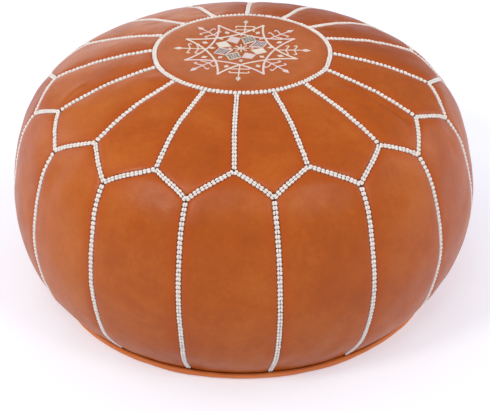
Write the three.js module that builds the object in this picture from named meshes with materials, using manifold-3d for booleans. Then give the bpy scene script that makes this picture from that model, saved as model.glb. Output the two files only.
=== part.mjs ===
// A stuffed leather floor pouf: an embroidered round medallion, a ring of top
// panels, a ring of side panels, a two-piece base closed by a zip, raised
// hand-stitched braids over the seams, an inner bag and its filling.
//
// Millimetres, +Z up, origin at the middle of the base on the floor. Angles run
// from the front (-Y) towards +X, and one top seam points straight to the front.

import * as THREE from 'three';
import { mergeVertices } from 'three/addons/utils/BufferGeometryUtils.js';
import Module from 'manifold-3d';

const wasm = await Module();
wasm.setup();

// ---------------------------------------------------------------- dimensions

const PANELS = 16;                  // panels in each ring
const STEP = (2 * Math.PI) / PANELS;
const SEGMENTS = 4 * PANELS;        // facets round the pouf, so every seam is on a facet edge
const GAP = 0.3;                    // clearance between neighbouring pieces

const WIDEST = 270;                 // radius of the pouf at its widest
const CROWN_HEIGHT = 287.5;         // the medallion is flat out to CROWN_RADIUS
const CROWN_RADIUS = 88;
const MEDALLION_RADIUS = 102;       // ring seam between the medallion and the top panels
const UPPER_POINT_RADIUS = 212;     // zigzag seam: where the top seams end
const LOWER_POINT_RADIUS = 235;     // zigzag seam: where the side seams start
const ZIGZAG_FLOOR = 150;           // the zigzag only cuts the skin above this height
const CUT_LOW = 200;                // upright cuts through the crown run between these heights
const CUT_HIGH = 400;
const LEATHER = 1.8;                // thickness of the top and side panels

// Outline of the skin from the edge of the flat crown down to the base seam.
const SKIN_KNOTS = [
  [CROWN_RADIUS, CROWN_HEIGHT], [MEDALLION_RADIUS, 285], [159.8, 271], [UPPER_POINT_RADIUS, 249.5],
  [LOWER_POINT_RADIUS, 230], [257, 192], [WIDEST, 121.5], [257.5, 50], [230, 7.6],
];
const SKIN_ROWS = 10;

const BASE_LEATHER = 2.2;           // thickness of the base halves
const RIM_OUTER = 235;              // rolled rim of the base, standing proud of the skin
const RIM_INNER = 227.5;
const RIM_HEIGHT = 7;

const BRAID_WIDTH = 6;
const BRAID_HEIGHT = 2;
const BRAID_FOOT = 9;               // side braids stop above the rim

const STAR_TIP = 66;                // embroidered eight-pointed star
const STAR_CROSSING = 38.6;
const STAR_TURN = THREE.MathUtils.degToRad(3);
const ROSETTE_RADIUS = 28;
const ARROW_TIP = 77.5;
const THREAD_WIDTH = 1.6;
const THREAD_HEIGHT = 0.8;

const SLOT_HALF_LENGTH = 185;       // opening in the base for the zip, along X
const SLOT_HALF_WIDTH = 7;
const HEM_WIDTH = 9;                // turned-in edge of the leather along the slot
const HEM_HEIGHT = 4.4;
const TAPE = { halfLength: 190, inner: 3.3, outer: 15.5, bottom: 4.7, top: 5.3 };
const TEETH = { from: -168, to: 166, inner: 0.5, outer: 3, bottom: 4, top: 6 };
const STOP_LENGTH = 3.5;

const SLIDER_X = 159;               // slider at rest, zip closed
const SLIDER = { halfLength: 6, halfWidth: 4.2, plate: 0.7, dividerWidth: 0.5, dividerLength: 2.5 };
const LUG = { inner: 1.8, outer: 2.6, halfLength: 1.4, bottom: 0.8 };
const PIN_HEIGHT = 1.5;             // axis of the pull, along Y
const PIN_RADIUS = 0.5;
const PULL = { length: 22, halfWidth: 3, thickness: 0.9, eyeRadius: 1.2, eyeHalfWidth: 1.5, bore: 0.68 };

const BAG_OFFSET = LEATHER + 2;     // cotton bag inside the leather
const BAG_THICKNESS = 1;
const BAG_BOTTOM = 8.4;
const BAG_CORNER_RADIUS = 219;
const BAG_SLIT = { halfLength: 150, halfWidth: 4 };
const FILLING_GAP = 0.6;
const SOFT_SEGMENTS = 2 * PANELS;

// ---------------------------------------------------------------- materials

const look = (color, roughness, metalness = 0) =>
  new THREE.MeshStandardMaterial({ color, roughness, metalness });
const PANEL_LEATHER = look(0xb4602a, 0.5);
const CROWN_LEATHER = look(0xb05f34, 0.5);
const BASE_LOOK = look(0xd07d40, 0.5);
const BRAID_COTTON = look(0xe9e2d5, 0.85);
const EMBROIDERY_SILK = look(0xe3d2c8, 0.5);
const TAPE_COTTON = look(0x8a5530, 0.9);
const COIL_NYLON = look(0x6f4322, 0.55);
const ZIP_METAL = look(0xb08d4f, 0.35, 1);
const BAG_CALICO = look(0xe6dcc6, 0.95);
const WADDING = look(0xf2efe8, 1);

// ---------------------------------------------------------------- solids

// A solid for booleans, from a closed geometry with its faces pointing either way.
function solid(geometry) {
  const bare = geometry.clone();
  bare.deleteAttribute('normal');
  bare.deleteAttribute('uv');
  const merged = mergeVertices(bare, 1e-4);
  const index = merged.getIndex().array;
  const position = merged.getAttribute('position');
  const corners = [];
  let volume = 0;
  const [a, b, c] = [new THREE.Vector3(), new THREE.Vector3(), new THREE.Vector3()];
  for (let i = 0; i < index.length; i += 3) {
    const [p, q, r] = index.slice(i, i + 3);
    if (p === q || q === r || r === p) continue;
    corners.push(p, q, r);
    a.fromBufferAttribute(position, p);
    b.fromBufferAttribute(position, q);
    c.fromBufferAttribute(position, r);
    volume += a.dot(b.cross(c));
  }
  if (volume < 0) corners.reverse();
  return new wasm.Manifold(new wasm.Mesh({
    numProp: 3,
    vertProperties: new Float32Array(position.array),
    triVerts: new Uint32Array(corners),
  }));
}

function named(name, piece, material) {
  const { vertProperties, triVerts } = piece.getMesh();
  const geometry = new THREE.BufferGeometry();
  geometry.setAttribute('position', new THREE.BufferAttribute(new Float32Array(vertProperties), 3));
  geometry.setIndex(new THREE.BufferAttribute(new Uint32Array(triVerts), 1));
  const mesh = new THREE.Mesh(geometry, material);
  mesh.name = name;
  return mesh;
}

// An upright solid of revolution from [radius, height] points.
function revolved(points, segments = SEGMENTS) {
  const profile = points.map(([radius, height]) => new THREE.Vector2(radius, height));
  return solid(new THREE.LatheGeometry(profile, segments).rotateX(Math.PI / 2));
}

// An upright prism from a plan outline of Vector2 points.
function prism(outline, bottom, top) {
  const shape = new THREE.Shape(outline);
  const geometry = new THREE.ExtrudeGeometry(shape, { depth: top - bottom, bevelEnabled: false });
  return solid(geometry.translate(0, 0, bottom));
}

function block([x0, x1], [y0, y1], [z0, z1]) {
  const geometry = new THREE.BoxGeometry(x1 - x0, y1 - y0, z1 - z0);
  return solid(geometry.translate((x0 + x1) / 2, (y0 + y1) / 2, (z0 + z1) / 2));
}

function disc(radius, bottom, top) {
  return revolved([[0, bottom], [radius, bottom], [radius, top], [0, top]]);
}

const union = (pieces) => pieces.reduce((sum, piece) => sum.add(piece));

// Plan point at a radius and an angle from the front.
const around = (radius, angle) => new THREE.Vector2(radius * Math.sin(angle), -radius * Math.cos(angle));

// A straight strip in plan between two points.
function strip(from, to, width, bottom, top, overrun = 0) {
  const along = to.clone().sub(from).normalize();
  const start = from.clone().addScaledVector(along, -overrun);
  const end = to.clone().addScaledVector(along, overrun);
  const side = new THREE.Vector2(-along.y, along.x).multiplyScalar(width / 2);
  const corners = [
    start.clone().sub(side), end.clone().sub(side), end.clone().add(side), start.clone().add(side),
  ];
  return prism(corners, bottom, top);
}

// ---------------------------------------------------------------- outlines

const skinCurve = new THREE.SplineCurve(SKIN_KNOTS.map(([r, z]) => new THREE.Vector2(r, z)));

// The skin's outline moved outwards (or inwards, if negative), as [radius, height] from the top.
function skinOutline(offset) {
  const points = [[0, CROWN_HEIGHT + offset]];
  for (let i = 0; i <= SKIN_ROWS; i += 1) {
    const point = skinCurve.getPoint(i / SKIN_ROWS);
    const tangent = skinCurve.getTangent(i / SKIN_ROWS);
    points.push([point.x - tangent.y * offset, point.y + tangent.x * offset]);
  }
  return points;
}

// A shell of revolution between two outlines.
const shell = (outer, inner, segments) => revolved([...outer, ...inner.slice().reverse()], segments);

// The zigzag seam in plan, grown or shrunk by a clearance.
function zigzag(clearance) {
  const edge = around(UPPER_POINT_RADIUS, 0).sub(around(LOWER_POINT_RADIUS, STEP / 2));
  const slope = Math.acos(Math.abs(edge.x) / edge.length());
  const scale = 1 + clearance / (UPPER_POINT_RADIUS * Math.cos(slope));
  const outline = [];
  for (let k = 0; k < PANELS; k += 1) {
    outline.push(around(UPPER_POINT_RADIUS * scale, k * STEP));
    outline.push(around(LOWER_POINT_RADIUS * scale, (k + 0.5) * STEP));
  }
  return prism(outline, ZIGZAG_FLOOR, CUT_HIGH);
}

// The sector of one panel, between two upright seams, less half a gap on each side.
function sector(startAngle) {
  const middle = startAngle + STEP / 2;
  const apex = GAP / 2 / Math.sin(STEP / 2);
  const reach = 2 * WIDEST;
  const corner = (angle) => around(apex, middle).add(around(reach, angle));
  return prism([around(apex, middle), corner(startAngle), corner(startAngle + STEP)], -1, CUT_HIGH);
}

// ---------------------------------------------------------------- leather

const skin = shell(skinOutline(0), skinOutline(-LEATHER));
const insideZigzag = zigzag(-GAP / 2);
const outsideZigzag = zigzag(GAP / 2);
const medallionCut = disc(MEDALLION_RADIUS + GAP / 2, CUT_LOW, CUT_HIGH);
const topRing = skin.intersect(insideZigzag).subtract(medallionCut);
const sideRing = skin.subtract(outsideZigzag);

function topMedallion() {
  const cut = disc(MEDALLION_RADIUS - GAP / 2, CUT_LOW, CUT_HIGH);
  return named('top_medallion', skin.intersect(cut), CROWN_LEATHER);
}

function ringOfPanels(ring, prefix, firstAngle) {
  const panels = [];
  for (let k = 0; k < PANELS; k += 1) {
    const number = String(k + 1).padStart(2, '0');
    const panel = ring.intersect(sector(firstAngle + k * STEP));
    panels.push(named(`${prefix}_${number}`, panel, PANEL_LEATHER));
  }
  return panels;
}

// Two half discs with a rolled rim, butted along X, with a hemmed slot for the zip.
function baseHalves() {
  const dish = revolved([
    [0, 0], [RIM_OUTER - 6, 0], [RIM_OUTER - 2, 0.9], [RIM_OUTER, 3.2], [RIM_OUTER - 0.6, 5.4],
    [RIM_OUTER - 3, RIM_HEIGHT], [RIM_INNER + 1.5, RIM_HEIGHT], [RIM_INNER, 5.2],
    [RIM_INNER - 0.8, BASE_LEATHER], [0, BASE_LEATHER],
  ]);
  const slotX = [-SLOT_HALF_LENGTH, SLOT_HALF_LENGTH];
  const through = [-1, RIM_HEIGHT + 1];
  const past = RIM_OUTER + 1;
  const slot = block(slotX, [-SLOT_HALF_WIDTH, SLOT_HALF_WIDTH], through);
  return [['front', -1], ['back', 1]].map(([name, side]) => {
    const near = side * (SLOT_HALF_WIDTH - 1);
    const far = side * (SLOT_HALF_WIDTH + HEM_WIDTH);
    const hemY = [Math.min(near, far), Math.max(near, far)];
    const hem = block(slotX, hemY, [BASE_LEATHER / 2, HEM_HEIGHT]);
    const butt = side * (GAP / 2);
    const halfY = [Math.min(butt, side * past), Math.max(butt, side * past)];
    const half = block([-past, past], halfY, through);
    return named(`base_panel_${name}`, dish.add(hem).intersect(half).subtract(slot), BASE_LOOK);
  });
}

// ---------------------------------------------------------------- stitching

const braidLayer = shell(skinOutline(GAP + BRAID_HEIGHT), skinOutline(GAP));

// Ring seam and the sixteen top seams, as one connected braid.
function topBraid() {
  const half = BRAID_WIDTH / 2;
  const hole = disc(MEDALLION_RADIUS - half, CUT_LOW - 1, CUT_HIGH + 1);
  const ring = disc(MEDALLION_RADIUS + half, CUT_LOW, CUT_HIGH).subtract(hole);
  const strips = [];
  for (let k = 0; k < PANELS; k += 1) {
    const from = around(MEDALLION_RADIUS, k * STEP);
    const to = around(UPPER_POINT_RADIUS, k * STEP);
    strips.push(strip(from, to, BRAID_WIDTH, CUT_LOW, CUT_HIGH));
  }
  const insideSideBraid = zigzag(-half - 2 * GAP);
  const plan = union([ring, ...strips]).intersect(insideSideBraid);
  return named('top_seam_braid', braidLayer.intersect(plan), BRAID_COTTON);
}

// Zigzag seam and the sixteen side seams, as one connected braid.
function sideBraid() {
  const half = BRAID_WIDTH / 2;
  const band = zigzag(half).subtract(zigzag(-half));
  const strips = [];
  for (let k = 0; k < PANELS; k += 1) {
    const angle = (k + 0.5) * STEP;
    const outside = around(WIDEST + 20, angle);
    const upperStart = around(LOWER_POINT_RADIUS - half, angle);
    strips.push(strip(upperStart, outside, BRAID_WIDTH, ZIGZAG_FLOOR, CUT_HIGH));
    const lowerStart = around(LOWER_POINT_RADIUS - 20, angle);
    strips.push(strip(lowerStart, outside, BRAID_WIDTH, BRAID_FOOT, ZIGZAG_FLOOR + 1));
  }
  return named('side_seam_braid', braidLayer.intersect(union([band, ...strips])), BRAID_COTTON);
}

// Eight-pointed star of two interlaced squares, eight arrows and a rosette, as one raised figure.
function medallionEmbroidery() {
  const bottom = CROWN_HEIGHT + GAP;
  const top = bottom + THREAD_HEIGHT;
  const eighth = Math.PI / 4;
  const threads = [];
  for (let k = 0; k < 8; k += 1) {
    const crossing = STAR_TURN + k * eighth;
    const tip = around(STAR_TIP, crossing + eighth / 2);
    const here = around(STAR_CROSSING, crossing);
    const next = around(STAR_CROSSING, crossing + eighth);
    threads.push(strip(here, tip, THREAD_WIDTH, bottom, top, THREAD_WIDTH / 2));
    threads.push(strip(next, tip, THREAD_WIDTH, bottom, top, THREAD_WIDTH / 2));
    const stem = around(ROSETTE_RADIUS / 2, crossing);
    threads.push(strip(stem, around(ARROW_TIP, crossing), THREAD_WIDTH, bottom, top));
  }
  const rosette = [];
  for (let k = 0; k < 8; k += 1) {
    rosette.push(around(ROSETTE_RADIUS, STAR_TURN + (k + 0.5) * eighth));
  }
  const figure = union([prism(rosette, bottom, top), ...threads]);
  return named('medallion_embroidery', figure, EMBROIDERY_SILK);
}

// ---------------------------------------------------------------- zip

// A bar on one side of the zip: side -1 is the front, 1 the back.
function sideBar(side, x, inner, outer, z) {
  const y = [side * inner, side * outer].sort((a, b) => a - b);
  return block(x, y, z);
}

function zipHalves() {
  const pieces = [];
  for (const [name, side] of [['front', -1], ['back', 1]]) {
    const tapeX = [-TAPE.halfLength, TAPE.halfLength];
    const tape = sideBar(side, tapeX, TAPE.inner, TAPE.outer, [TAPE.bottom, TAPE.top]);
    const teethZ = [TEETH.bottom, TEETH.top];
    const teeth = sideBar(side, [TEETH.from, TEETH.to], TEETH.inner, TEETH.outer, teethZ);
    const stopX = [TEETH.to + GAP, TEETH.to + GAP + STOP_LENGTH];
    const stop = sideBar(side, stopX, TEETH.inner, TEETH.outer, teethZ);
    pieces.push(named(`zip_tape_${name}`, tape, TAPE_COTTON));
    pieces.push(named(`zip_teeth_${name}`, teeth, COIL_NYLON));
    pieces.push(named(`zip_top_stop_${name}`, stop, ZIP_METAL));
  }
  const bottomX = [TEETH.from - GAP - STOP_LENGTH, TEETH.from - GAP];
  const bottomStop = block(bottomX, [-TEETH.outer, TEETH.outer], [TEETH.bottom, TEETH.top]);
  pieces.push(named('zip_bottom_stop', bottomStop, ZIP_METAL));
  return pieces;
}

// A round bar along Y through the pull's axis.
function crossBar(radius, halfWidth) {
  const geometry = new THREE.CylinderGeometry(radius, radius, 2 * halfWidth, 24);
  return solid(geometry.translate(0, 0, PIN_HEIGHT));
}

// Two plates joined by a divider between the teeth, with two lugs and a pin for the pull.
function zipSlider() {
  const length = [-SLIDER.halfLength, SLIDER.halfLength];
  const width = [-SLIDER.halfWidth, SLIDER.halfWidth];
  const lowerTop = TEETH.bottom - GAP;
  const upperBottom = TEETH.top + GAP;
  const lower = block(length, width, [lowerTop - SLIDER.plate, lowerTop]);
  const upper = block(length, width, [upperBottom, upperBottom + SLIDER.plate]);
  const dividerX = [SLIDER.halfLength - 1 - SLIDER.dividerLength, SLIDER.halfLength - 1];
  const dividerY = [-SLIDER.dividerWidth / 2, SLIDER.dividerWidth / 2];
  const divider = block(dividerX, dividerY, [lowerTop - 0.2, upperBottom + 0.2]);
  const lugX = [-LUG.halfLength, LUG.halfLength];
  const lugZ = [LUG.bottom, lowerTop - SLIDER.plate / 2];
  const lugs = [-1, 1].map((side) => sideBar(side, lugX, LUG.inner, LUG.outer, lugZ));
  const pin = crossBar(PIN_RADIUS, LUG.inner + 0.2);
  return named('zip_slider', union([lower, upper, divider, ...lugs, pin]), ZIP_METAL);
}

// A flat tab with a rolled eye round the slider's pin.
function zipPull() {
  const eye = crossBar(PULL.eyeRadius, PULL.eyeHalfWidth);
  const tabBottom = PIN_HEIGHT - PULL.eyeRadius + 0.1;
  const tabZ = [tabBottom, tabBottom + PULL.thickness];
  const neck = block([-4, 0], [-PULL.eyeHalfWidth, PULL.eyeHalfWidth], tabZ);
  const tab = block([-PULL.length, -3.2], [-PULL.halfWidth, PULL.halfWidth], tabZ);
  const bore = crossBar(PULL.bore, PULL.eyeHalfWidth + 1);
  return named('zip_pull', union([eye, neck, tab]).subtract(bore), ZIP_METAL);
}

// ---------------------------------------------------------------- inside

// The skin's outline at an inward offset, closed by a flat bottom.
function softOutline(offset, bottom, cornerRadius) {
  const points = skinOutline(-offset).filter(([, height]) => height > bottom + 6);
  return [...points, [cornerRadius, bottom], [0, bottom]];
}

function fillingBag() {
  const inner = BAG_OFFSET + BAG_THICKNESS;
  const outside = revolved(softOutline(BAG_OFFSET, BAG_BOTTOM, BAG_CORNER_RADIUS), SOFT_SEGMENTS);
  const insideBottom = BAG_BOTTOM + BAG_THICKNESS;
  const inside = revolved(softOutline(inner, insideBottom, BAG_CORNER_RADIUS - 1), SOFT_SEGMENTS);
  const slitX = [-BAG_SLIT.halfLength, BAG_SLIT.halfLength];
  const slit = block(slitX, [-BAG_SLIT.halfWidth, BAG_SLIT.halfWidth], [0, insideBottom + 1]);
  return named('filling_bag', outside.subtract(inside).subtract(slit), BAG_CALICO);
}

function filling() {
  const offset = BAG_OFFSET + BAG_THICKNESS + FILLING_GAP;
  const bottom = BAG_BOTTOM + BAG_THICKNESS + FILLING_GAP;
  const outline = softOutline(offset, bottom, BAG_CORNER_RADIUS - 2);
  return named('filling', revolved(outline, SOFT_SEGMENTS), WADDING);
}

// ---------------------------------------------------------------- assembly

const pouf = new THREE.Group();
pouf.name = 'leather_pouf';
pouf.add(topMedallion());
pouf.add(...ringOfPanels(topRing, 'top_panel', 0));
pouf.add(...ringOfPanels(sideRing, 'side_panel', -STEP / 2));
pouf.add(...baseHalves());
pouf.add(topBraid(), sideBraid(), medallionEmbroidery());
pouf.add(...zipHalves());

const slider = new THREE.Group();
slider.name = 'zip_runner';
slider.position.set(SLIDER_X, 0, 0);
slider.add(zipSlider(), zipPull());
pouf.add(slider);

pouf.add(fillingBag(), filling());

export default pouf;
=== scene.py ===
"""The looks of a stuffed leather floor pouf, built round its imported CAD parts.

Shapes are worked out in millimetres and turned into metres where a mesh is made.
Angles run from the front (-Y) towards +X, as in the CAD part.
"""

import math

import bmesh
import bpy
import numpy as np
from mathutils import Matrix, Vector


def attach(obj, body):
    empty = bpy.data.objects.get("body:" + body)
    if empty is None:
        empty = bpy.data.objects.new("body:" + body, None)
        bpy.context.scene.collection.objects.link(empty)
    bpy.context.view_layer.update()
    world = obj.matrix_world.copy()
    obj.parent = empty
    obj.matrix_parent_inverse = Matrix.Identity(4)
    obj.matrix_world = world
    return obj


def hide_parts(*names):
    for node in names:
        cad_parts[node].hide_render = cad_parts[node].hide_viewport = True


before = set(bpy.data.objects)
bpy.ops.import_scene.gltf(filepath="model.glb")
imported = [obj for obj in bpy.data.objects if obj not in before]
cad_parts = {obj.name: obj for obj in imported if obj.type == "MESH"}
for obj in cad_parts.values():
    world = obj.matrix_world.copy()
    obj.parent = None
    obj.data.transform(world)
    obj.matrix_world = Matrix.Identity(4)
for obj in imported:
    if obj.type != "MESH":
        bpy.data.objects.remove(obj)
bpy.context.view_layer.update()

MM = 0.001

# ---- dimensions, in millimetres

PANELS = 16
STEP = 2 * math.pi / PANELS
MEDALLION_RADIUS = 102       # seam between the medallion and the top panels
RING_DRAW = 2.5              # how far its stitches draw that seam in towards the crown
UPPER_POINT_RADIUS = 212     # zigzag seam: where the top seams end
LOWER_POINT_RADIUS = 235     # zigzag seam: where the side seams start
ZIGZAG_SAG = 2               # how far its edges sag down the skin between the points
LEATHER = 1.7
SEAM_GAP = 0.15              # half the gap between neighbouring panels

# Outline of the stuffed skin, [radius, height], from the middle of the crown to the base seam.
SKIN_KNOTS = np.array([
    [0, 286.6], [45, 287.6], [80, 287.2], [102, 284.6], [159.8, 271], [212, 249.5],
    [235, 230], [257, 192], [270, 121.5], [257.5, 50], [230, 7.6],
])

BULGE_LIMIT = 4.5            # most that the stuffing pushes a panel out between its seams
VALLEY_DEPTH = 1.5           # how far a seam pulls the skin in
VALLEY_WIDTH = 3.4

RIM_OUTER = 235
BASE_LEATHER = 2.2
SLOT = {"half_length": 185, "half_width": 7, "hem": 9, "hem_top": 4.4}
TAPE = {"half_length": 190, "inner": 3.3, "outer": 15.5, "bottom": 4.7, "top": 5.3}
TEETH = {"start": -168, "end": 166, "inner": 0.5, "outer": 3, "bottom": 4, "top": 6}
STOP_LENGTH = 3.5
STOP_GAP = 0.3
SLIDER_X = 159
SLIDER = {"half_length": 6, "half_width": 4.2, "plate": 0.7, "lower": 3.0, "upper": 6.3}
PIN_HEIGHT = 1.5
PULL = {"length": 22, "half_width": 3, "thickness": 0.9, "eye": 1.2, "bore": 0.68, "eye_half": 1.5}
BAG_OFFSET = 4.0
BAG_THICKNESS = 1
BAG_BOTTOM = 8.4
BAG_CORNER = 219
BAG_SLIT = {"half_length": 150, "half_width": 4}
FILLING_OFFSET = 6.2
FILLING_BOTTOM = 10.2
FILLING_MIDDLE = np.array([0.0, 0.0, 120.0])

STAR_TURN = math.radians(3)
ARROW_LEAN = math.radians(3.4)     # the arrows sit a little clockwise of the star's crossings
EIGHTH = math.pi / 4

# ---- small maths


def smoothstep(x):
    x = np.clip(x, 0, 1)
    return x * x * (3 - 2 * x)


def catmull_rom(knots, steps):
    """Points of the uniform Catmull-Rom curve through the knots, its ends doubled."""
    ends = np.vstack([knots[:1], knots, knots[-1:]])
    t = np.linspace(0, 1, steps, endpoint=False)[:, None]
    rows = []
    for a, b, c, d in zip(ends, ends[1:], ends[2:], ends[3:]):
        cubic = (-a + 3 * b - 3 * c + d) * t**3
        square = (2 * a - 5 * b + 4 * c - d) * t**2
        rows.append(0.5 * (2 * b + (c - a) * t + square + cubic))
    return np.vstack(rows + [knots[-1:]])


def unit(vectors):
    return vectors / np.linalg.norm(vectors, axis=-1, keepdims=True)


def round_points(radius, angle, height):
    """Points at a radius, an angle from the front and a height."""
    return np.stack(np.broadcast_arrays(radius * np.sin(angle), -radius * np.cos(angle), height), -1)


def ripple(points, wavelengths, seed):
    """A smooth random field of about -1 to 1 over 3-D points, from a few plane waves."""
    random = np.random.default_rng(seed)
    total = np.zeros(points.shape[:-1])
    for length in wavelengths:
        direction = unit(random.normal(size=3))
        total += np.sin(points @ direction * 2 * math.pi / length + random.uniform(0, 2 * math.pi))
    return total / math.sqrt(len(wavelengths))


def wobble(along, wavelengths, seed):
    """A smooth random function of about -1 to 1 of one coordinate."""
    random = np.random.default_rng(seed)
    total = np.zeros_like(along, dtype=float)
    for length in wavelengths:
        total += np.sin(along * 2 * math.pi / length + random.uniform(0, 2 * math.pi))
    return total / math.sqrt(len(wavelengths))


# ---- the skin's surface
# A point on the skin is an angle and a station, the distance down the outline from the crown.

outline = catmull_rom(SKIN_KNOTS, 40)
station = np.concatenate([[0], np.cumsum(np.linalg.norm(np.diff(outline, axis=0), axis=1))])
slope = unit(np.gradient(outline, station, axis=0))
outline_normal = np.stack([-slope[:, 1], slope[:, 0]], 1)
widest = int(outline[:, 0].argmax())


def station_at_radius(radius):
    """The station above the widest line where the skin has this radius."""
    return np.interp(radius, outline[:widest, 0], station[:widest])


def station_at_height(height):
    """The station below the crown's edge where the skin has this height."""
    falling = outline[:, 0] > 90
    return np.interp(-np.asarray(height, float), -outline[falling, 1], station[falling])


RING_STATION = float(station_at_radius(MEDALLION_RADIUS))
END_STATION = float(station[-1])


def radius_at(s):
    return np.interp(s, station, outline[:, 0])


# Where hand cutting and sewing lets the seams wander: degrees from the front, radius (negative
# below the widest line), then millimetres clockwise and millimetres down the skin.
WANDER = [
    (-90, 212, -1, 4), (-67.5, 212, 1, 2), (-45, 212, 3, -1), (-22.5, 212, 4, 3), (0, 212, 3, -4),
    (22.5, 212, -2, -3), (45, 212, 5, -2), (67.5, 212, -3, -2), (202.5, 212, 4, 3), (247.5, 212, -3, -3),
    (-101.25, 235, -3, 6), (-78.75, 235, 0, 5), (-56.25, 235, 0, 3), (-33.75, 235, -4, 3),
    (11.25, 235, -1, -3), (33.75, 235, 2, 0), (101.25, 235, 3, 2), (146.25, 235, -4, -2),
    (-45, 102, 3, 0), (-22.5, 102, 3, 0), (135, 102, -4, 0), (157.5, 102, -4, 0), (67.5, 102, 1, 2),
    (-11.25, -232, -4, 0), (11.25, -232, -4, 0), (33.75, -232, -4, 0), (168.75, -232, 4, 0),
    (236.25, -232, 3, 0),
]


def wander(angle, s):
    """The angle and station where a point of the regular layout really lies."""
    shape = np.broadcast(angle, s).shape
    turn = np.zeros(shape)
    slide = np.zeros(shape) - RING_DRAW * np.exp(-((s - RING_STATION) / 25) ** 2)
    for where, radius, clockwise, down in WANDER:
        offset = (angle - math.radians(where) + math.pi) % (2 * math.pi) - math.pi
        level = station_at_radius(radius) if radius > 0 else END_STATION
        share = np.exp(-(offset / math.radians(9)) ** 2 - ((s - level) / 45) ** 2)
        turn += clockwise / abs(radius) * share
        slide += down * share
    return angle + turn, s + slide * smoothstep(s / 40) * smoothstep((END_STATION - s) / 40)


def surface(angle, s, height=0.0):
    """Points at a height above the skin's outline."""
    angle, s = wander(angle, s)
    r = radius_at(s) + height * np.interp(s, station, outline_normal[:, 0])
    z = np.interp(s, station, outline[:, 1]) + height * np.interp(s, station, outline_normal[:, 1])
    return round_points(r, angle, z)


def surface_normal(angle, s):
    angle, s = wander(angle, s)
    out = np.interp(s, station, outline_normal[:, 0])
    up = np.interp(s, station, outline_normal[:, 1])
    return unit(round_points(out, angle, up))


def fold_angle(angle):
    """The angle from the nearest top seam, from 0 to half a step."""
    return np.abs((np.asarray(angle) + STEP / 2) % STEP - STEP / 2)


def zigzag_station(angle):
    """Where the zigzag seam runs: almost straight in plan between its upper and lower points."""
    phi = fold_angle(angle)
    dx = LOWER_POINT_RADIUS * math.cos(STEP / 2) - UPPER_POINT_RADIUS
    dy = LOWER_POINT_RADIUS * math.sin(STEP / 2)
    radius = UPPER_POINT_RADIUS * dy / (np.cos(phi) * dy - np.sin(phi) * dx)
    return station_at_radius(radius) + ZIGZAG_SAG * np.sin(2 * math.pi * phi / STEP)


ZIGZAG_COSINE = 0.825        # cosine of the zigzag's slope across the skin


def seam_distances(angle, s):
    """Distance to the nearest seam of each kind, with the coordinate along it: (distance, along) pairs."""
    r = radius_at(s)
    top = fold_angle(angle)
    side = STEP / 2 - top
    zig = zigzag_station(angle)
    above = np.clip((s - zig) / 4, 0, 1)     # top seams end at the zigzag, and side seams start there
    below = np.clip((zig - s) / 4, 0, 1)
    inside = np.clip((RING_STATION - s) / 4, 0, 1)
    far = 60
    return [
        (np.abs(s - RING_STATION), r * angle),
        (np.abs(s - zig) * ZIGZAG_COSINE, r * angle),
        (r * np.sin(top) + far * above + far * inside, s),
        (r * np.sin(side) + far * below, s),
    ]


def nearest_seam(angle, s):
    return np.min([distance for distance, _ in seam_distances(angle, s)], axis=0)


# ---- stuffing: cloth under pressure

TOP_ROWS = 14
SIDE_ROWS = 28
COLUMNS_PER_PANEL = 12
COLUMNS = PANELS * COLUMNS_PER_PANEL


def row_of(angle, s):
    """Row coordinate on the cloth grid: 0 at the ring, TOP_ROWS at the zigzag, then down to the base."""
    zig = zigzag_station(angle)
    upper = TOP_ROWS * (s - RING_STATION) / (zig - RING_STATION)
    lower = TOP_ROWS + SIDE_ROWS * (s - zig) / (END_STATION - zig)
    return np.where(s < zig, upper, lower)


def cloth_grid():
    """Angle and station of every vertex of the cloth grid, rows by columns."""
    angle = np.arange(COLUMNS) * (2 * math.pi / COLUMNS)
    zig = zigzag_station(angle)
    down = np.linspace(0, 1, TOP_ROWS + 1)[:, None]
    upper = RING_STATION + down * (zig - RING_STATION)
    down = np.linspace(0, 1, SIDE_ROWS + 1)[1:, None]
    lower = zig + down * (END_STATION - zig)
    s = np.vstack([upper, lower])
    return np.broadcast_to(angle, s.shape), s


def seam_pins():
    """True where a cloth vertex is held by a seam."""
    pins = np.zeros((TOP_ROWS + SIDE_ROWS + 1, COLUMNS), bool)
    pins[[0, TOP_ROWS, -1]] = True
    pins[:TOP_ROWS, ::COLUMNS_PER_PANEL] = True
    pins[TOP_ROWS:, COLUMNS_PER_PANEL // 2::COLUMNS_PER_PANEL] = True
    return pins


def new_object(name, data):
    """An object in the scene, made from a mesh, camera or light."""
    made = bpy.data.objects.new(name, data)
    bpy.context.scene.collection.objects.link(made)
    return made


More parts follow.
